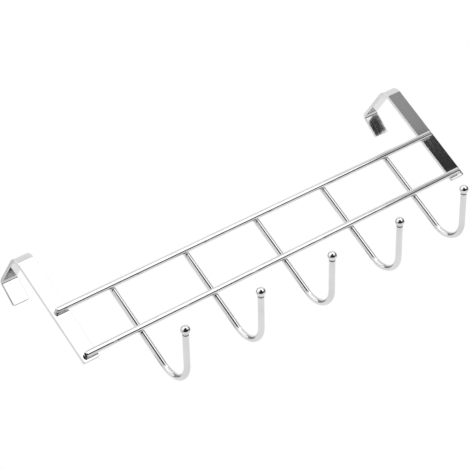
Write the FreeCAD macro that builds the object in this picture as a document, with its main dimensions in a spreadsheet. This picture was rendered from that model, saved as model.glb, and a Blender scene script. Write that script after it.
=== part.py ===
import FreeCAD, Part
import math
import os
import Sketcher
from FreeCAD import Vector

# Over door hook: two folded flat-bar straps hang over a door, two round rails are
# welded across their front faces, and five bent wires with ball tips are welded
# behind the rails.
#
# Frame: X along the rails, Y from the room into the door, Z up. The origin is
# midway between the straps, where the back of their front legs (Y = 0) would meet
# the underside of the bridges that lie over the door (Z = 0).

os.makedirs("parts", exist_ok=True)
doc = FreeCAD.newDocument("over_door_hook")

# Driving sizes in millimetres and degrees
SIZES = {
    # straps, measured over their outer edges
    "strap_span": 375.0,
    "strap_width": 13.5,
    "strap_thickness": 2.5,
    "strap_corner_radius": 1.0,
    "strap_edge_radius": 0.35,
    "front_bend_radius": 6.0,
    "rear_bend_radius": 2.0,
    "strap_tail": 4.7,
    "door_gap": 37.8,
    "bridge_rise": 4.2,
    "lip_length": 19.2,
    "lip_flare": 12.0,
    # rails
    "rail_diameter": 4.8,
    "rail_inset": 3.6,
    "rail_end_chamfer": 0.7,
    "lower_rail_drop": 88.5,
    "rail_spacing": 38.5,
    # welded crossings
    "weld_set_down": 0.3,
    "weld_flat_margin": 0.5,
    # hook wires
    "wire_diameter": 4.8,
    "hook_pitch": 67.5,
    "stem_head": 2.0,
    "stem_drop": 31.5,
    "hook_bend_radius": 18.2,
    "hook_turn": 120.0,
    "arm_length": 27.8,
    # ball tips
    "ball_diameter": 7.1,
    "ball_neck_length": 3.6,
    "ball_neck_radius": 0.8,
    "neck_groove": 0.4,
    "spigot_diameter": 3.0,
    "spigot_length": 4.5,
    "spigot_clearance": 0.05,
    "spigot_end_gap": 0.3,
}

HOOK_COUNT = 5

# Edges are picked by their size to within this length, in millimetres
PICKING_PLAY = 0.02
# Faces that meet at a smaller angle than this count as smooth
SMOOTH_DEG = 5.0

# A sketch's names for the points of a curve, for its own origin and upright
# axis, and for the first edge it borrows from the solid
START, END, CENTRE = range(1, 4)
ORIGIN, V_AXIS, BORROWED_EDGE = range(-1, -4, -1)


def make_sheet():
    """Spreadsheet that holds every driving size under its own name."""
    sheet = doc.addObject("Spreadsheet::Sheet", "sizes")
    for row, (name, value) in enumerate(SIZES.items(), start=1):
        sheet.set(f"A{row}", name.replace("_", " "))
        sheet.set(f"B{row}", str(value))
        sheet.setAlias(f"B{row}", name)
    doc.recompute()


def size(name):
    return SIZES[name]


def in_cells(expression):
    """The expression with its bare size names written as the sheet's cells."""
    words = []
    for word in expression.split():
        bare = word.strip("()")
        words.append(word.replace(bare, "sizes." + bare) if bare in SIZES else word)
    return " ".join(words)


def bind(feature, prop, expression):
    """Tie a property to the sheet."""
    feature.setExpression(prop, in_cells(expression))


def worth(expression):
    """What an expression of the sheet's sizes comes to."""
    return float(doc.getObject("sizes").evalExpression(in_cells(expression)))


def new_body(label):
    body = doc.addObject("PartDesign::Body", label)
    body.Label = label
    return body


def origin_part(body, role):
    """Origin plane or axis of a body, such as XY_Plane or X_Axis."""
    return next(part for part in body.Origin.OriginFeatures if part.Role == role)


def sketch_on(body, role, name, offset=None):
    """Sketch on an origin plane, moved along the plane's normal by an expression."""
    sketch = body.newObject("Sketcher::SketchObject", name)
    sketch.AttachmentSupport = [(origin_part(body, role), "")]
    sketch.MapMode = "FlatFace"
    if offset:
        bind(sketch, "AttachmentOffset.Base.z", offset)
        doc.recompute()
    return sketch


def drawn_measure(sketch, kind, where):
    """What a dimension reads on the geometry as it was drawn."""
    if kind in ("Radius", "Diameter"):
        radius = sketch.Geometry[where[0]].Radius
        return radius if kind == "Radius" else 2 * radius
    if kind == "Angle":
        arms = []
        for line, near in (where[:2], where[2:]):
            far = END if near == START else START
            arms.append(sketch.getPoint(line, far) - sketch.getPoint(line, near))
        return arms[0].getAngle(arms[1])
    span = sketch.getPoint(*where[2:]) - sketch.getPoint(*where[:2])
    return {"DistanceX": span.x, "DistanceY": span.y, "Distance": span.Length}[kind]


def dimension(sketch, name, expression, kind, *where):
    """Named sketch dimension that follows the sheet."""
    start = drawn_measure(sketch, kind, where)
    index = sketch.addConstraint(Sketcher.Constraint(kind, *where, start))
    sketch.renameConstraint(index, name)
    bind(sketch, f"Constraints.{name}", expression)


def heading(degrees):
    """Unit vector in a sketch, at an angle from its first axis."""
    return Vector(math.cos(math.radians(degrees)), math.sin(math.radians(degrees)), 0)


def segment(sketch, a, b):
    return sketch.addGeometry(Part.LineSegment(Vector(*a), Vector(*b)), False)


def arc(sketch, centre, radius, first_deg, last_deg):
    circle = Part.Circle(Vector(*centre), Vector(0, 0, 1), radius)
    arc_of_circle = Part.ArcOfCircle(circle, math.radians(first_deg), math.radians(last_deg))
    return sketch.addGeometry(arc_of_circle, False)


def tie(sketch, kind, *where):
    return sketch.addConstraint(Sketcher.Constraint(kind, *where))


def circle_sketch(body, role, name, diameter, offset=None):
    """Round section centred on the body's own axis."""
    sketch = sketch_on(body, role, name, offset)
    ring = sketch.addGeometry(Part.Circle(Vector(), Vector(0, 0, 1), size(diameter) / 2), False)
    tie(sketch, "Coincident", ring, CENTRE, ORIGIN, START)
    dimension(sketch, "diameter", diameter, "Diameter", ring)
    return sketch


def rectangle(sketch, tag, left, right, bottom, top):
    """Rectangle whose four sides lie where four expressions say."""
    x_low, x_high = worth(left), worth(right)
    y_low, y_high = worth(bottom), worth(top)
    corners = [(x_low, y_low), (x_high, y_low), (x_high, y_high), (x_low, y_high)]
    sides = [segment(sketch, corners[i], corners[(i + 1) % 4]) for i in range(4)]
    for i in range(4):
        tie(sketch, "Coincident", sides[i], END, sides[(i + 1) % 4], START)
        tie(sketch, "Horizontal" if i % 2 == 0 else "Vertical", sides[i])
    dimension(sketch, f"{tag}_left", left, "DistanceX", ORIGIN, START, sides[0], START)
    dimension(sketch, f"{tag}_right", right, "DistanceX", ORIGIN, START, sides[0], END)
    dimension(sketch, f"{tag}_bottom", bottom, "DistanceY", ORIGIN, START, sides[0], START)
    dimension(sketch, f"{tag}_top", top, "DistanceY", ORIGIN, START, sides[2], START)


def sharp_edges(shape, keep=lambda edge: True):
    """Names of the edges where two faces meet at an angle, as chosen by keep."""
    smooth = math.radians(SMOOTH_DEG)
    names = []
    for number, edge in enumerate(shape.Edges, start=1):
        middle = edge.valueAt((edge.FirstParameter + edge.LastParameter) / 2)
        normals = []
        for face in shape.ancestorsOfType(edge, Part.Face):
            u, v = face.Surface.parameter(middle)
            normals.append(face.normalAt(u, v))
        is_sharp = len(normals) == 2 and normals[0].getAngle(normals[1]) > smooth
        if is_sharp and keep(edge):
            names.append(f"Edge{number}")
    return names


def dress(body, kind, name, base, edges, prop, expression):
    """Fillet or chamfer on the named edges of a feature."""
    feature = body.newObject(f"PartDesign::{kind}", name)
    feature.Base = (base, edges)
    bind(feature, prop, expression)
    doc.recompute()
    return feature


def pad(body, sketch, length, name):
    feature = body.newObject("PartDesign::Pad", name)
    feature.Profile = sketch
    bind(feature, "Length", length)
    doc.recompute()
    return feature


def pocket(body, sketch, depth, name, towards_normal=False):
    """Cut from a sketch, against its normal unless told otherwise."""
    before = body.Shape.Volume
    feature = body.newObject("PartDesign::Pocket", name)
    feature.Profile = sketch
    feature.Reversed = towards_normal
    bind(feature, "Length", depth)
    doc.recompute()
    if not body.Shape.Volume < before:
        raise ValueError(f"{body.Label}: {name} removes nothing")
    return feature


# Straps


def strap_outline(body):
    """Side view of the folded bar: front leg, bridge over the door, flared rear lip."""
    thick = size("strap_thickness")
    front_radius = size("front_bend_radius")
    rear_radius = size("rear_bend_radius")
    rise = size("bridge_rise")
    flare = size("lip_flare")
    # the way the bar runs, and the side of it that faces away from the door
    up, over, down = heading(90), heading(rise), heading(flare - 90)
    room_side, top_side, rear_side = heading(180), heading(90 + rise), heading(flare)

    # the inner faces would meet at two corners, which the bends round off
    foot = up * -(size("lower_rail_drop") + size("strap_tail"))
    rear_corner = over * (size("door_gap") / over.x)
    lip_end = rear_corner + down * size("lip_length")
    front_cut = front_radius * math.tan(up.getAngle(over) / 2)
    rear_cut = rear_radius * math.tan(over.getAngle(down) / 2)
    front_low = up * -front_cut
    front_high = over * front_cut
    rear_high = rear_corner - over * rear_cut
    rear_low = rear_corner + down * rear_cut
    front_centre = front_low - room_side * front_radius
    rear_centre = rear_low - rear_side * rear_radius

    sketch = sketch_on(body, "YZ_Plane", "side_outline")
    front = segment(sketch, foot + room_side * thick, front_low + room_side * thick)
    front_outer = arc(sketch, front_centre, front_radius + thick, 90 + rise, 180)
    top = segment(sketch, front_high + top_side * thick, rear_high + top_side * thick)
    rear_outer = arc(sketch, rear_centre, rear_radius + thick, flare, 90 + rise)
    lip_outer = segment(sketch, rear_low + rear_side * thick, lip_end + rear_side * thick)
    lip_tip = segment(sketch, lip_end + rear_side * thick, lip_end)
    lip_inner = segment(sketch, lip_end, rear_low)
    rear_inner = arc(sketch, rear_centre, rear_radius, flare, 90 + rise)
    under = segment(sketch, rear_high, front_high)
    front_inner = arc(sketch, front_centre, front_radius, 90 + rise, 180)
    back = segment(sketch, front_low, foot)
    tail = segment(sketch, foot, foot + room_side * thick)

    smooth_joints = [
        (front, END, front_outer, END),
        (front_outer, START, top, START),
        (top, END, rear_outer, END),
        (rear_outer, START, lip_outer, START),
        (lip_inner, END, rear_inner, START),
        (rear_inner, END, under, START),
        (under, END, front_inner, START),
        (front_inner, END, back, START),
    ]
    for joint in smooth_joints:
        tie(sketch, "Tangent", *joint)
    corners = [
        (lip_outer, END, lip_tip, START),
        (lip_tip, END, lip_inner, START),
        (back, END, tail, START),
        (tail, END, front, START),
        (front_outer, CENTRE, front_inner, CENTRE),
        (rear_outer, CENTRE, rear_inner, CENTRE),
    ]
    for corner in corners:
        tie(sketch, "Coincident", *corner)
    tie(sketch, "PointOnObject", back, START, V_AXIS)
    tie(sketch, "PointOnObject", ORIGIN, START, under)
    tie(sketch, "Vertical", back)
    tie(sketch, "Horizontal", tail)
    tie(sketch, "Perpendicular", lip_tip, lip_inner)

    corner = sketch.addGeometry(Part.Point(rear_corner), True)
    tie(sketch, "PointOnObject", corner, START, lip_inner)
    tie(sketch, "PointOnObject", corner, START, under)

    dimension(sketch, "front_bend", "front_bend_radius", "Radius", front_inner)
    dimension(sketch, "rear_bend", "rear_bend_radius", "Radius", rear_inner)
    dimension(sketch, "thickness", "strap_thickness", "DistanceX", tail, END, tail, START)
    dimension(sketch, "leg", "lower_rail_drop + strap_tail", "DistanceY", back, END, ORIGIN, START)
    dimension(sketch, "gap", "door_gap", "DistanceX", ORIGIN, START, corner, START)
    dimension(sketch, "lip", "lip_length", "Distance", corner, START, lip_inner, START)
    dimension(sketch, "rise", "( 90 + bridge_rise ) * 1deg", "Angle", back, START, under, END)
    dimension(sketch, "flare", "lip_flare * 1deg", "Angle", back, START, lip_inner, END)
    return sketch


def make_strap(label, left_edge):
    """Folded flat bar; left_edge is the expression for its lower X face."""
    body = new_body(label)
    outline = strap_outline(body)
    bar = pad(body, outline, "strap_width", "bar")

    def across_the_ends(edge):
        # edges along the thickness, at the foot of the leg and at the lip's end
        straight = isinstance(edge.Curve, Part.Line)
        along_x = abs(edge.tangentAt(edge.FirstParameter).x) > 0.5
        short = edge.Length < size("strap_thickness") + PICKING_PLAY
        return straight and short and not along_x

    corners = sharp_edges(bar.Shape, across_the_ends)
    rounded = dress(body, "Fillet", "corners", bar, corners, "Radius", "strap_corner_radius")
    edges = sharp_edges(rounded.Shape)
    dress(body, "Fillet", "rolled_edges", rounded, edges, "Radius", "strap_edge_radius")
    bind(body, "Placement.Base.x", left_edge)
    return body


# Rails


def make_rail(label, drop):
    """Round bar with a pressed flat at every strap and hook wire it is welded to."""
    body = new_body(label)
    section = circle_sketch(body, "YZ_Plane", "section", "rail_diameter")
    bar = pad(body, section, "strap_span - 2 * rail_inset", "bar")
    ends = sharp_edges(bar.Shape)
    dress(body, "Chamfer", "ends", bar, ends, "Size", "rail_end_chamfer")

    level = "weld_set_down - rail_diameter / 2"
    depth = "2 * weld_set_down"
    low = "- rail_diameter / 2"
    high = "rail_diameter / 2"

    on_strap = "( strap_width - rail_inset + weld_flat_margin )"
    right_start = f"strap_span - 2 * rail_inset - {on_strap}"
    flats = sketch_on(body, "XZ_Plane", "strap_flats", level)
    rectangle(flats, "left", "- rail_inset", on_strap, low, high)
    rectangle(flats, "right", right_start, "strap_span - rail_inset", low, high)
    pocket(body, flats, depth, "strap_seats")

    first = f"strap_span / 2 - rail_inset - {(HOOK_COUNT - 1) / 2} * hook_pitch"
    half = "( wire_diameter / 2 + weld_flat_margin )"
    hook_flat = sketch_on(body, "XZ_Plane", "hook_flat", level)
    rectangle(hook_flat, "wire", f"{first} - {half}", f"{first} + {half}", low, high)
    seat = pocket(body, hook_flat, depth, "hook_seat")
    row = body.newObject("PartDesign::LinearPattern", "hook_seats")
    row.Originals = [seat]
    row.Direction = (origin_part(body, "X_Axis"), [""])
    bind(row, "Length", f"{HOOK_COUNT - 1} * hook_pitch")
    row.Occurrences = HOOK_COUNT
    body.Tip = row

    bind(body, "Placement.Base.x", "rail_inset - strap_span / 2")
    bind(body, "Placement.Base.y", "weld_set_down - strap_thickness - rail_diameter / 2")
    bind(body, "Placement.Base.z", drop)
    return body


# Hook wires


def hook_path(body):
    """Centre line in the Y Z plane: stem down, bend forward and up, short arm."""
    top = size("rail_spacing") + size("stem_head")
    low = -size("stem_drop")
    radius = size("hook_bend_radius")
    turn = math.radians(size("hook_turn"))
    centre = (-radius, low)
    bend_end = (-radius + radius * math.cos(turn), low - radius * math.sin(turn))
    arm = size("arm_length")
    arm_end = (bend_end[0] - arm * math.sin(turn), bend_end[1] - arm * math.cos(turn))

    sketch = sketch_on(body, "YZ_Plane", "path")
    stem = segment(sketch, (0, top), (0, low))
    bend = arc(sketch, centre, radius, -size("hook_turn"), 0)
    rise = segment(sketch, bend_end, arm_end)
    tie(sketch, "PointOnObject", stem, START, V_AXIS)
    tie(sketch, "Vertical", stem)
    tie(sketch, "Tangent", stem, END, bend, END)
    tie(sketch, "Tangent", bend, START, rise, START)
    dimension(sketch, "head", "rail_spacing + stem_head", "DistanceY", ORIGIN, START, stem, START)
    dimension(sketch, "drop", "stem_drop", "DistanceY", stem, END, ORIGIN, START)
    dimension(sketch, "bend_radius", "hook_bend_radius", "Radius", bend)
    dimension(sketch, "arm", "arm_length", "Distance", rise, START, rise, END)
    dimension(sketch, "turn", "( 180 - hook_turn ) * 1deg", "Angle", stem, END, rise, START)
    return sketch


def make_hook_wire(label, side_steps):
    """Bent wire, flat where the rails cross it, with a turned spigot for its ball."""
    body = new_body(label)
    section = circle_sketch(body, "XY_Plane", "section", "wire_diameter", "rail_spacing + stem_head")
    path = hook_path(body)
    wire = body.newObject("PartDesign::AdditivePipe", "wire")
    wire.Profile = section
    wire.Spine = (path, ["Edge1", "Edge2", "Edge3"])
    doc.recompute()

    def is_tip(face):
        forward = face.CenterOfMass.y < -size("hook_bend_radius")
        return isinstance(face.Surface, Part.Plane) and forward

    tip = next(i for i, face in enumerate(wire.Shape.Faces, start=1) if is_tip(face))
    spigot_section = body.newObject("Sketcher::SketchObject", "spigot_section")
    spigot_section.AttachmentSupport = [(wire, f"Face{tip}")]
    spigot_section.MapMode = "FlatFace"
    doc.recompute()
    rim = wire.Shape.Faces[tip - 1].Edges[0]
    rim_name = next(i for i, edge in enumerate(wire.Shape.Edges, start=1) if edge.isSame(rim))
    spigot_section.addExternal(wire.Name, f"Edge{rim_name}")
    to_sketch = spigot_section.Placement.inverse()
    middle = to_sketch.multVec(wire.Shape.Faces[tip - 1].CenterOfMass)
    radius = size("spigot_diameter") / 2
    ring = spigot_section.addGeometry(Part.Circle(middle, Vector(0, 0, 1), radius), False)
    tie(spigot_section, "Coincident", ring, CENTRE, BORROWED_EDGE, CENTRE)
    dimension(spigot_section, "diameter", "spigot_diameter", "Diameter", ring)
    spigot = pad(body, spigot_section, "spigot_length", "spigot")

    def wire_rim(edge):
        forward = edge.CenterOfMass.y < -size("hook_bend_radius")
        wide = isinstance(edge.Curve, Part.Circle) and edge.Curve.Radius > radius + PICKING_PLAY
        return forward and wide

    rims = sharp_edges(spigot.Shape, wire_rim)
    dress(body, "Chamfer", "neck_edge", spigot, rims, "Size", "neck_groove")

    left = "- wire_diameter / 2"
    right = "wire_diameter / 2"
    half = "( rail_diameter / 2 + weld_flat_margin )"
    past_head = "rail_spacing + stem_head + weld_flat_margin"
    flats = sketch_on(body, "XZ_Plane", "rail_flats", "wire_diameter / 2 - weld_set_down")
    rectangle(flats, "lower", left, right, f"- {half}", half)
    rectangle(flats, "upper", left, right, f"rail_spacing - {half}", past_head)
    pocket(body, flats, "2 * weld_set_down", "rail_seats", towards_normal=True)

    bind(body, "Placement.Base.x", f"{side_steps} * hook_pitch")
    bind(body, "Placement.Base.y", "wire_diameter / 2 - weld_set_down - strap_thickness")
    bind(body, "Placement.Base.z", "- lower_rail_drop")
    return body


# Ball tips


def make_ball_tip(label, side_steps):
    """Turned ball with a hollowed neck and a blind bore that takes the wire's spigot."""
    ball = size("ball_diameter") / 2
    neck = size("wire_diameter") / 2
    hollow = size("ball_neck_radius")
    foot = -size("ball_neck_length")
    groove = size("neck_groove")
    bore = size("spigot_diameter") / 2 + size("spigot_clearance")
    bore_top = foot + size("spigot_length") + size("spigot_end_gap")
    # the hollow touches the ball from outside and ends on the neck's cylinder
    hollow_x = neck + hollow
    hollow_z = -math.sqrt((ball + hollow) ** 2 - hollow_x**2)
    slope = math.degrees(math.atan2(hollow_z, hollow_x))
    touch = (ball * math.cos(math.radians(slope)), ball * math.sin(math.radians(slope)))

    body = new_body(label)
    sketch = sketch_on(body, "XZ_Plane", "half_section")
    axis_edge = segment(sketch, (0, ball), (0, bore_top))
    bore_end = segment(sketch, (0, bore_top), (bore, bore_top))
    bore_wall = segment(sketch, (bore, bore_top), (bore, foot))
    shoulder = segment(sketch, (bore, foot), (neck - groove, foot))
    bevel = segment(sketch, (neck - groove, foot), (neck, foot + groove))
    neck_wall = segment(sketch, (neck, foot + groove), (neck, hollow_z))
    neck_hollow = arc(sketch, (hollow_x, hollow_z), hollow, 180 + slope, 180)
    round_face = arc(sketch, (0, 0), ball, slope, 90)
    chain = [
        (axis_edge, END, bore_end, START),
        (bore_end, END, bore_wall, START),
        (bore_wall, END, shoulder, START),
        (shoulder, END, bevel, START),
        (bevel, END, neck_wall, START),
        (round_face, END, axis_edge, START),
    ]
    for joint in chain:
        tie(sketch, "Coincident", *joint)
    tie(sketch, "Tangent", neck_wall, END, neck_hollow, END)
    tie(sketch, "Tangent", neck_hollow, START, round_face, START)
    tie(sketch, "Coincident", round_face, CENTRE, ORIGIN, START)
    tie(sketch, "PointOnObject", axis_edge, START, V_AXIS)
    tie(sketch, "PointOnObject", axis_edge, END, V_AXIS)
    tie(sketch, "Horizontal", bore_end)
    tie(sketch, "Vertical", bore_wall)
    tie(sketch, "Horizontal", shoulder)
    tie(sketch, "Vertical", neck_wall)
    dimension(sketch, "ball", "ball_diameter / 2", "Radius", round_face)
    dimension(sketch, "hollow", "ball_neck_radius", "Radius", neck_hollow)
    bore_text = "spigot_diameter / 2 + spigot_clearance"
    depth_text = "spigot_length + spigot_end_gap"
    neck_text = "wire_diameter / 2"
    dimension(sketch, "bore", bore_text, "DistanceX", ORIGIN, START, bore_wall, START)
    dimension(sketch, "depth", depth_text, "DistanceY", bore_wall, END, bore_wall, START)
    dimension(sketch, "neck_half", neck_text, "DistanceX", ORIGIN, START, neck_wall, START)
    dimension(sketch, "neck_foot", "ball_neck_length", "DistanceY", shoulder, END, ORIGIN, START)
    dimension(sketch, "groove_in", "neck_groove", "DistanceX", bevel, START, bevel, END)
    dimension(sketch, "groove_up", "neck_groove", "DistanceY", bevel, START, bevel, END)

    turned = body.newObject("PartDesign::Revolution", "turned")
    turned.Profile = sketch
    turned.ReferenceAxis = (sketch, ["V_Axis"])
    turned.Angle = 360
    doc.recompute()

    # the ball's centre lies on the arm's line, beyond the bend round its own centre
    reach = "( arm_length + ball_neck_length )"
    bend_centre_y = "wire_diameter / 2 - weld_set_down - strap_thickness - hook_bend_radius"
    bend_centre_z = "- lower_rail_drop - stem_drop"
    from_bend_y = f"hook_bend_radius * cos( hook_turn ) - {reach} * sin( hook_turn )"
    from_bend_z = f"- hook_bend_radius * sin( hook_turn ) - {reach} * cos( hook_turn )"
    bind(body, "Placement.Base.x", f"{side_steps} * hook_pitch")
    bind(body, "Placement.Base.y", f"{bend_centre_y} + {from_bend_y}")
    bind(body, "Placement.Base.z", f"{bend_centre_z} + ( {from_bend_z} )")
    body.Placement.Rotation = FreeCAD.Rotation(Vector(1, 0, 0), 1)
    bind(body, "Placement.Rotation.Angle", "( 180 - hook_turn ) * 1deg")
    return body


make_sheet()
bodies = [
    make_strap("left_strap", "- strap_span / 2"),
    make_strap("right_strap", "strap_span / 2 - strap_width"),
    make_rail("upper_rail", "rail_spacing - lower_rail_drop"),
    make_rail("lower_rail", "- lower_rail_drop"),
]
for number in range(1, HOOK_COUNT + 1):
    side_steps = number - (HOOK_COUNT + 1) / 2
    bodies.append(make_hook_wire(f"hook_wire_{number}", side_steps))
    bodies.append(make_ball_tip(f"ball_tip_{number}", side_steps))
doc.recompute()

for item in doc.Objects:
    if "Invalid" in item.State or "Error" in item.State:
        raise ValueError(f"{item.Label} didn't build: {item.State}")
for body in bodies:
    if body.Shape.isNull() or not body.Shape.isValid() or len(body.Shape.Solids) != 1:
        raise ValueError(f"{body.Label} isn't one valid solid")
    body.Shape.exportStep(f"parts/{body.Label}.step")
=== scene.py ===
import math

import bmesh
import bpy
from mathutils import Matrix, Vector

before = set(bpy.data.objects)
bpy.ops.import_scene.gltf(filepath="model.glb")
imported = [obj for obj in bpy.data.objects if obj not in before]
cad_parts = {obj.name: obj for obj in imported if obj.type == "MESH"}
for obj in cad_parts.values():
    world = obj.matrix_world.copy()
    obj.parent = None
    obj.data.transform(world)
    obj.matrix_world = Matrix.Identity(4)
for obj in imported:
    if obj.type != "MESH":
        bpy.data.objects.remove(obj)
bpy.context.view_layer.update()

# Bright plated over door hook, seen from its left end and a little from below,
# in a white studio. Each strap has a leg in front of the door, a bridge over it
# and a lip behind it. Everything is in metres in the frame of the solids: X along
# the rails, Y into the door, Z up.

# Camera, as fitted to the photograph
CAMERA_PLACE = Vector((-0.7027, -1.0756, -0.4229))
CAMERA_RIGHT = Vector((0.77408, -0.29815, -0.55848))
CAMERA_UP = Vector((0.37063, -0.50176, 0.78158))
CAMERA_BACK = CAMERA_RIGHT.cross(CAMERA_UP)
SENSOR_MM = 36.0
LENS_MM = 134.56

# Plating
BRIGHT = 0.70
DULL = 0.64
BLUE_SHARE = 1.01
SMOOTH = 0.035
HAZY = 0.085
HAZY_BALL = 0.06

# Painted shade: a dark ring at the seam between each ball and its wire, square to the hooks' arms
ARM_WAY = Vector((0.0, -math.sin(math.radians(60)), math.cos(math.radians(60))))
BALL_CENTRE = Vector((0.0, -0.05489, -0.12006))
SEAM_DROP = 0.0036
SEAM_CENTRE = BALL_CENTRE - SEAM_DROP * ARM_WAY
SEAM_CORE = 0.00025
SEAM_REACH = 0.0006
SEAM_SHADE_TONE = 0.04

# Flat faces of the straps: the front of the legs, which faces straight ahead, the
# undersides of the bridges, and the inside of the right lip, whose top left corner
# is LIP_TOP
BAR_WIDTH = 0.0135
LEG_FRONT = -0.0025
BRIDGE_RISE = math.radians(4.2)
LIP_FLARE = math.radians(12)
LIP_TOP = Vector((0.174, 0.0382, 0.0011))
LIP_LENGTH = 0.0175
AHEAD = Vector((0.0, -1.0, 0.0))
BRIDGE_FACING = Vector((0.0, math.sin(BRIDGE_RISE), -math.cos(BRIDGE_RISE)))
LIP_FACING = Vector((0.0, -math.cos(LIP_FLARE), -math.sin(LIP_FLARE)))

# Room around the rack
RACK_CENTRE = Vector((0.0, 0.0, -0.06))
FRONT_WALL = -1.2
RIGHT_WALL = 1.6
CEILING = 2.0
SAIL_DISTANCE = 2.5
REAR_CARD_DISTANCE = 2.0
DARK_ROOM_DISTANCE = 2.0

# Floor and the light all round
FLOOR_LEVEL = -0.75
FLOOR_SIZE = 12.0
FLOOR_DARK = 0.38
FLOOR_LIGHT = 0.42
FLOOR_GLOW = 0.6
HALF_LIGHT = 0.5

# Softbox on the front wall, and the panels to the right of it
BOX_LEFT = 0.05
BOX_RIGHT = 1.0
BOX_FOOT = -0.73
BOX_TOP = 0.82
BOX_BRIGHTNESS = 1.6
GREY_PANEL_FOOT = 0.366
GREY_PANEL_RIGHT = 2.2
MIDDLE_PANEL_FOOT = -0.2
LOWER_PANELS_RIGHT = 1.3
STRAP_CARD_LEFT = 1.08
STRAP_CARD_FOOT = 0.18

# Small cards close to the straps: upright planes ahead of the rack and to its left
LIP_CARDS_Y = -0.1
UNDER_CARDS_Y = -0.2
SIDE_CARDS_X = -0.25
CARD_GAP = 0.01
SIDE_CARD_GAP = 0.002

# White of the room, and tones of the cards in it
WHITE = (1, 1, 1, 1)
BLACK = 0.03
STRAP_BLACK = 0.04
CARD_WHITE = 1.4
SAIL_WHITE = 1.5
CARD_MOTTLE = 0.1


# Materials


def node(tree, kind, settings=None, **inputs):
    """Node with its settings and input values; an input may be another node's socket."""
    made = tree.nodes.new(kind)
    for name, value in (settings or {}).items():
        setattr(made, name, value)
    for name, value in inputs.items():
        socket = made.inputs[name.replace("_", " ")]
        if isinstance(value, bpy.types.NodeSocket):
            tree.links.new(value, socket)
        else:
            socket.default_value = value
    return made


def blank_material(name):
    """New material with its node tree and its shader."""
    material = bpy.data.materials.new(name)
    material.use_nodes = True
    return material, material.node_tree, material.node_tree.nodes["Principled BSDF"]


def grey(tone, blue_share=1.0):
    """Opaque grey whose blue is that share of its red and green."""
    return tone, tone, tone * blue_share, 1


def seam_shade(tree, place, colour):
    """Colour with a ring of painted shade in the crevice between each ball and its wire."""
    height = node(tree, "ShaderNodeVectorMath", {"operation": "DOT_PRODUCT"})
    tree.links.new(place.outputs["Object"], height.inputs[0])
    height.inputs[1].default_value = ARM_WAY
    offset = node(tree, "ShaderNodeMath", {"operation": "SUBTRACT"})
    tree.links.new(height.outputs["Value"], offset.inputs[0])
    offset.inputs[1].default_value = SEAM_CENTRE.dot(ARM_WAY)
    distance = node(tree, "ShaderNodeMath", {"operation": "ABSOLUTE"})
    tree.links.new(offset.outputs["Value"], distance.inputs[0])
    ring = node(tree, "ShaderNodeMapRange", Value=distance.outputs["Value"])
    ring.inputs["From Min"].default_value = SEAM_CORE
    ring.inputs["From Max"].default_value = SEAM_REACH
    # A colour mix has its share at input 0 and its two colours at 6 and 7
    shade = node(tree, "ShaderNodeMix", {"data_type": "RGBA"})
    tree.links.new(ring.outputs["Result"], shade.inputs[0])
    # Dark colour of the painted crevice shade
    shade.inputs[6].default_value = grey(SEAM_SHADE_TONE)
    tree.links.new(colour, shade.inputs[7])
    return shade.outputs[2]


def plating(name, grain, hazy=HAZY, crevice_shade=False):
    """Bright plating over drawn or rolled steel: grain is the noise's scale along X, Y, Z."""
    material, tree, shader = blank_material(name)
    place = node(tree, "ShaderNodeTexCoord")
    along = node(tree, "ShaderNodeMapping", Vector=place.outputs["Object"], Scale=grain)
    lines = node(tree, "ShaderNodeTexNoise", Vector=along.outputs["Vector"], Scale=1.0, Detail=3.0)
    patches = node(tree, "ShaderNodeTexNoise", Vector=place.outputs["Object"], Scale=55.0, Detail=2.0)
    waves = node(tree, "ShaderNodeTexNoise", Vector=place.outputs["Object"], Scale=120.0, Detail=1.0)

    tone = node(tree, "ShaderNodeValToRGB", Fac=patches.outputs["Fac"])
    tone.color_ramp.elements[0].position = 0.3
    tone.color_ramp.elements[0].color = grey(DULL, BLUE_SHARE)
    tone.color_ramp.elements[1].position = 0.6
    tone.color_ramp.elements[1].color = grey(BRIGHT, BLUE_SHARE)
    haze = node(tree, "ShaderNodeMapRange", Value=lines.outputs["Fac"])
    haze.inputs["From Min"].default_value = 0.3
    haze.inputs["From Max"].default_value = 0.7
    haze.inputs["To Min"].default_value = SMOOTH
    haze.inputs["To Max"].default_value = hazy

    scratch = node(tree, "ShaderNodeBump", Height=lines.outputs["Fac"], Strength=0.25, Distance=2e-6)
    ripple = node(tree, "ShaderNodeBump", Height=waves.outputs["Fac"], Strength=0.5, Distance=2e-5)
    tree.links.new(scratch.outputs["Normal"], ripple.inputs["Normal"])
    colour = tone.outputs["Color"]
    # The dark ring added here is painted shade in the crevice between ball and wire
    if crevice_shade:
        colour = seam_shade(tree, place, colour)
    tree.links.new(colour, shader.inputs["Base Color"])
    tree.links.new(haze.outputs["Result"], shader.inputs["Roughness"])
    tree.links.new(ripple.outputs["Normal"], shader.inputs["Normal"])
    shader.inputs["Metallic"].default_value = 1.0
    return material


def dress(names, material):
    """Give every slot of the named nodes the material."""
    for name in names:
        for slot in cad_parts[name].material_slots:
            slot.material = material


wires = [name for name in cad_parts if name.startswith("hook_wire")]
balls = [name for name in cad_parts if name.startswith("ball_tip")]
dress(["left_strap", "right_strap"], plating("strap_plating", (900, 60, 60)))
dress(["upper_rail", "lower_rail"], plating("rail_plating", (40, 1500, 1500)))
dress(wires, plating("wire_plating", (1500, 300, 120), crevice_shade=True))
dress(balls, plating("ball_plating", (400, 400, 400), hazy=HAZY_BALL, crevice_shade=True))


# Floor, light all round and camera


def mottled(tree, dark, light, **noise):
    """Grey that wanders between two tones over a surface."""
    place = node(tree, "ShaderNodeTexCoord")
    spots = node(tree, "ShaderNodeTexNoise", Vector=place.outputs["Object"], **noise)
    ramp = node(tree, "ShaderNodeValToRGB", Fac=spots.outputs["Fac"])
    ramp.color_ramp.elements[0].color = grey(dark)
    ramp.color_ramp.elements[1].color = grey(light)
    return ramp.outputs["Color"]


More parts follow.
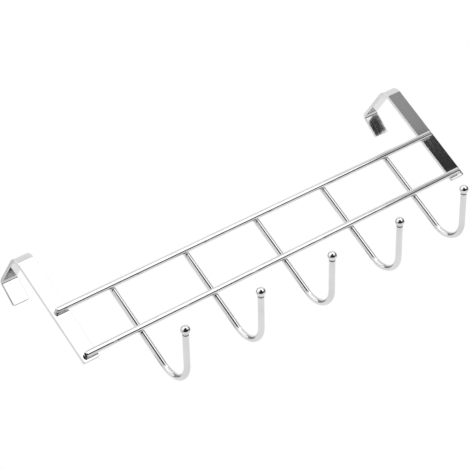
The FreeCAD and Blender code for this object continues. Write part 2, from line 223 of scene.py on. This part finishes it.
def studio_object(name, shape, material):
    """Object of the studio, made from a bmesh that is then freed."""
    mesh = bpy.data.meshes.new(name)
    shape.to_mesh(mesh)
    shape.free()
    mesh.materials.append(material)
    made = bpy.data.objects.new(name, mesh)
    bpy.context.scene.collection.objects.link(made)
    return made


def floor_paper():
    """Pale paper with faint fibres, which glows for the camera alone."""
    material, tree, shader = blank_material("floor_paper")
    rays = node(tree, "ShaderNodeLightPath")
    seen = node(tree, "ShaderNodeMapRange", Value=rays.outputs["Is Camera Ray"])
    seen.inputs["To Max"].default_value = FLOOR_GLOW
    fibres = mottled(tree, FLOOR_DARK, FLOOR_LIGHT, Scale=40.0, Detail=4.0)
    tree.links.new(fibres, shader.inputs["Base Color"])
    tree.links.new(seen.outputs["Result"], shader.inputs["Emission Strength"])
    shader.inputs["Emission Color"].default_value = WHITE
    shader.inputs["Roughness"].default_value = 0.9
    return material


def floor():
    """Plain floor under the rack, which the metal doesn't show."""
    shape = bmesh.new()
    bmesh.ops.create_grid(shape, x_segments=1, y_segments=1, size=FLOOR_SIZE / 2)
    bmesh.ops.translate(shape, verts=shape.verts, vec=(0, 0, FLOOR_LEVEL))
    made = studio_object("floor", shape, floor_paper())
    made.visible_glossy = False


def surroundings():
    """White for the camera and in the metal, a plain half light on everything else."""
    world = bpy.data.worlds.new("white_studio")
    bpy.context.scene.world = world
    world.use_nodes = True
    tree = world.node_tree
    rays = node(tree, "ShaderNodeLightPath")
    seen = node(tree, "ShaderNodeMath", {"operation": "MAXIMUM"})
    tree.links.new(rays.outputs["Is Camera Ray"], seen.inputs[0])
    tree.links.new(rays.outputs["Is Glossy Ray"], seen.inputs[1])
    shown = node(tree, "ShaderNodeMath", {"operation": "MAXIMUM"})
    tree.links.new(seen.outputs["Value"], shown.inputs[0])
    tree.links.new(rays.outputs["Is Transmission Ray"], shown.inputs[1])
    strength = node(tree, "ShaderNodeMapRange", Value=shown.outputs["Value"])
    strength.inputs["To Min"].default_value = HALF_LIGHT
    strength.inputs["To Max"].default_value = 1.0
    background = tree.nodes["Background"]
    background.inputs["Color"].default_value = WHITE
    tree.links.new(strength.outputs["Result"], background.inputs["Strength"])


def photograph_camera():
    """Camera at the place, turn and focal length of the photograph's."""
    lens = bpy.data.cameras.new("camera")
    lens.sensor_fit = "HORIZONTAL"
    lens.sensor_width = SENSOR_MM
    lens.lens = LENS_MM
    holder = bpy.data.objects.new("camera", lens)
    turn = Matrix((CAMERA_RIGHT, CAMERA_UP, CAMERA_BACK)).transposed().to_4x4()
    holder.matrix_world = Matrix.Translation(CAMERA_PLACE) @ turn
    bpy.context.scene.collection.objects.link(holder)
    bpy.context.scene.camera = holder


# How a card is made, and where its corners lie


def glow(name, tone):
    """Plain card that is seen at its own tone, with a faint mottle."""
    material, tree, shader = blank_material(name)
    faint = mottled(tree, tone * (1 - CARD_MOTTLE), tone * (1 + CARD_MOTTLE), Scale=3.0)
    light = node(tree, "ShaderNodeEmission", Color=faint, Strength=1.0)
    tree.nodes.remove(shader)
    tree.links.new(light.outputs["Emission"], tree.nodes["Material Output"].inputs["Surface"])
    return material


def card(name, corners, tone):
    """White, grey or black card that shows in the metal alone."""
    shape = bmesh.new()
    for corner in corners:
        shape.verts.new(corner)
    bmesh.ops.contextual_create(shape, geom=shape.verts)
    made = studio_object(name, shape, glow(name + "_tone", tone))
    made.visible_camera = False
    made.visible_diffuse = False
    made.visible_shadow = False


def rectangle(left, right, foot, top):
    """Corners of an upright rectangle, as pairs of places across and up."""
    return (left, foot), (right, foot), (right, top), (left, top)


def towards(azimuth, elevation):
    """Direction from the rack: azimuth from straight ahead of it towards +X, in degrees."""
    turn = math.radians(azimuth)
    rise = math.radians(elevation)
    return Vector((math.sin(turn) * math.cos(rise), -math.cos(turn) * math.cos(rise), math.sin(rise)))


def in_sight(facing, distance, bearings):
    """Corners of a flat card that is square to facing, each where a line of sight meets it.

    The lines of sight start at the rack and are given as azimuth and elevation.
    """
    ways = [towards(azimuth, elevation) for azimuth, elevation in bearings]
    return [RACK_CENTRE + distance * way / way.dot(facing) for way in ways]


def behind_camera(right, up):
    """Corner of the card that hangs square to the camera's view, behind the camera."""
    return RACK_CENTRE + DARK_ROOM_DISTANCE * (CAMERA_BACK + right * CAMERA_RIGHT + up * CAMERA_UP)


def meeting(start, way, place, facing):
    """Where a line from start meets the plane through place that is square to facing."""
    return start + way * ((place - start).dot(facing) / way.dot(facing))


def mirrored(place, facing, y):
    """Where the camera's line of sight to a place on a flat face, mirrored there, meets the plane at y."""
    way = (place - CAMERA_PLACE).reflect(facing)
    return meeting(place, way, Vector((0.0, y, 0.0)), AHEAD)


def lip_place(across, down):
    """Place on the right lip, as shares of its width from the left and of its length from the fold."""
    along = Vector((0.0, -LIP_FACING.z, LIP_FACING.y))
    return LIP_TOP + Vector((across * BAR_WIDTH, 0.0, 0.0)) + down * LIP_LENGTH * along


def under_bridge(x, y):
    """Where the line of sight to a bridge's underside, mirrored there and in the lip, meets its card."""
    place = Vector((x, y, y * math.tan(BRIDGE_RISE)))
    way = (place - CAMERA_PLACE).reflect(BRIDGE_FACING)
    on_lip = meeting(place, way, LIP_TOP, LIP_FACING)
    way = way.reflect(LIP_FACING)
    return meeting(on_lip, way, Vector((0.0, UNDER_CARDS_Y, 0.0)), AHEAD)


# Lamp and cards, from the front wall round to the camera's back


def front_softbox():
    """Rectangular lamp in the front wall, which shows in the metal at its own brightness."""
    width = BOX_RIGHT - BOX_LEFT
    height = BOX_TOP - BOX_FOOT
    lamp = bpy.data.lights.new("front_softbox", "AREA")
    lamp.shape = "RECTANGLE"
    lamp.size = width
    lamp.size_y = height
    lamp.energy = BOX_BRIGHTNESS * math.pi * width * height
    holder = bpy.data.objects.new("front_softbox", lamp)
    centre = Vector(((BOX_LEFT + BOX_RIGHT) / 2, FRONT_WALL, (BOX_FOOT + BOX_TOP) / 2))
    # A lamp shines downwards until it is turned, and this one shines into the door
    quarter_turn = Matrix.Rotation(math.radians(90), 4, "X")
    holder.matrix_world = Matrix.Translation(centre) @ quarter_turn
    holder.visible_camera = False
    bpy.context.scene.collection.objects.link(holder)


def front_panels():
    """Panels beside the softbox, for the grey and the black half of the right leg."""
    grey_panel = rectangle(BOX_RIGHT, GREY_PANEL_RIGHT, GREY_PANEL_FOOT, BOX_TOP)
    middle_panel = rectangle(BOX_RIGHT, LOWER_PANELS_RIGHT, MIDDLE_PANEL_FOOT, GREY_PANEL_FOOT)
    foot_panel = rectangle(BOX_RIGHT, LOWER_PANELS_RIGHT, BOX_FOOT, MIDDLE_PANEL_FOOT)
    strap_card = rectangle(STRAP_CARD_LEFT, LOWER_PANELS_RIGHT, STRAP_CARD_FOOT, GREY_PANEL_FOOT)
    card("grey_panel", [(x, FRONT_WALL, z) for x, z in grey_panel], tone=0.39)
    card("middle_panel", [(x, FRONT_WALL, z) for x, z in middle_panel], tone=0.6)
    card("foot_panel", [(x, FRONT_WALL, z) for x, z in foot_panel], tone=0.5)
    card("strap_card", [(x, FRONT_WALL + CARD_GAP, z) for x, z in strap_card], tone=STRAP_BLACK)


def tail_card():
    """White card for the white end of the right leg, below the lower rail."""
    tail = [Vector((x, LEG_FRONT, z)) for x, z in rectangle(0.170, 0.186, -0.1, -0.0905)]
    card("tail_card", [mirrored(place, AHEAD, LIP_CARDS_Y) for place in tail], tone=CARD_WHITE)


def lip_cards():
    """Black card before a white sheet, for the right lip's black middle and white margins."""
    middle = [
        lip_place(across, down) for across, down in
        ((0.55, 0.0), (0.93, -0.02), (0.93, 0.9), (0.55, 0.95), (-0.2, 1.04), (-0.2, 0.4), (0.1, 0.17))
    ]
    whole = [lip_place(across, down) for across, down in rectangle(-0.2, 1.3, -0.2, 1.3)]
    middle_card = [mirrored(place, LIP_FACING, LIP_CARDS_Y) for place in middle]
    sheet = [mirrored(place, LIP_FACING, LIP_CARDS_Y - CARD_GAP) for place in whole]
    card("lip_card", middle_card, tone=STRAP_BLACK)
    card("lip_sheet", sheet, tone=CARD_WHITE)


def under_cards():
    """Cards that light the rear part of each bridge's underside by way of its lip."""
    # Places across and along the undersides, each seen at a corner of its card
    left = (-0.1925, 0.0295), (-0.170, 0.018), (-0.170, 0.05), (-0.1925, 0.05)
    right = (0.176, 0.028), (0.1925, 0.012), (0.1925, 0.05), (0.1735, 0.045)
    card("left_under_card", [under_bridge(x, y) for x, y in left], tone=0.9)
    card("right_under_card", [under_bridge(x, y) for x, y in right], tone=1.5)


def dark_wall():
    """Black card at the right wall, for the dark arc on the right of each ball."""
    bearings = (58, 4), (72, 18), (98, -2), (104, -22), (80, -48), (70, -45), (60, -12)
    card("dark_wall", in_sight(Vector((1, 0, 0)), RIGHT_WALL, bearings), tone=BLACK)


def white_sail():
    """White sail above the camera and to its left."""
    bearings = (2, 27), (-50, 18.5), (-113.5, 30), (-129, 66), (-16, 71)
    card("white_sail", in_sight(towards(-60, 48), SAIL_DISTANCE, bearings), tone=SAIL_WHITE)


def ceiling_beams():
    """Two grey beams under the ceiling, which meet along one edge."""
    far = (-3.15, 2.45), (-1.2, 0.66), (-0.19, 1.75), (-1.0, 3.57)
    near = (-1.2, 0.66), (-0.3, 0.1), (0.1, 0.05), (0.4, 0.7), (-0.19, 1.75)
    card("far_beam", [(x, y, CEILING) for x, y in far], tone=0.26)
    card("near_beam", [(x, y, CEILING) for x, y in near], tone=0.35)


def rear_cards():
    """Dark grey cards: a small one behind the rack and a larger one to its rear left."""
    back = (157, 0), (167, 0), (167, 10), (157, 10)
    left = (-104, -6), (-124, -4), (-131, 4), (-138, 12), (-113, 12)
    card("back_card", in_sight(towards(162, 5), REAR_CARD_DISTANCE, back), tone=0.12)
    card("left_card", in_sight(towards(-122, 4), REAR_CARD_DISTANCE, left), tone=0.13)


def left_strap_cards():
    """Grey cards to the left of the rack, for the sides of the left bridge and lip."""
    bridge = rectangle(0.132, 0.2, 0.03, 0.075)
    lip = rectangle(0.172, 0.2, 0.02, 0.0515)
    card("bridge_card", [(SIDE_CARDS_X, y, z) for y, z in bridge], tone=0.7)
    card("lip_side_card", [(SIDE_CARDS_X + SIDE_CARD_GAP, y, z) for y, z in lip], tone=0.33)


def dark_room():
    """Black card behind the camera, for the balls' black triangles and the wires' dark lines."""
    outline = (
        (0.5, 2.04), (-0.3, 0.56), (-0.5, 0.415), (-0.56, 0.05), (-2.3, -1.6), (0, -1.25),
        (1.2, -1.3), (3.3, -1.15), (5.75, -1.1), (8, 5), (3, 5),
    )
    card("dark_room", [behind_camera(right, up) for right, up in outline], tone=BLACK)


floor()
surroundings()
photograph_camera()
front_softbox()
front_panels()
tail_card()
lip_cards()
under_cards()
dark_wall()
white_sail()
ceiling_beams()
rear_cards()
left_strap_cards()
dark_room()

bpy.context.scene.view_settings.view_transform = "Standard"
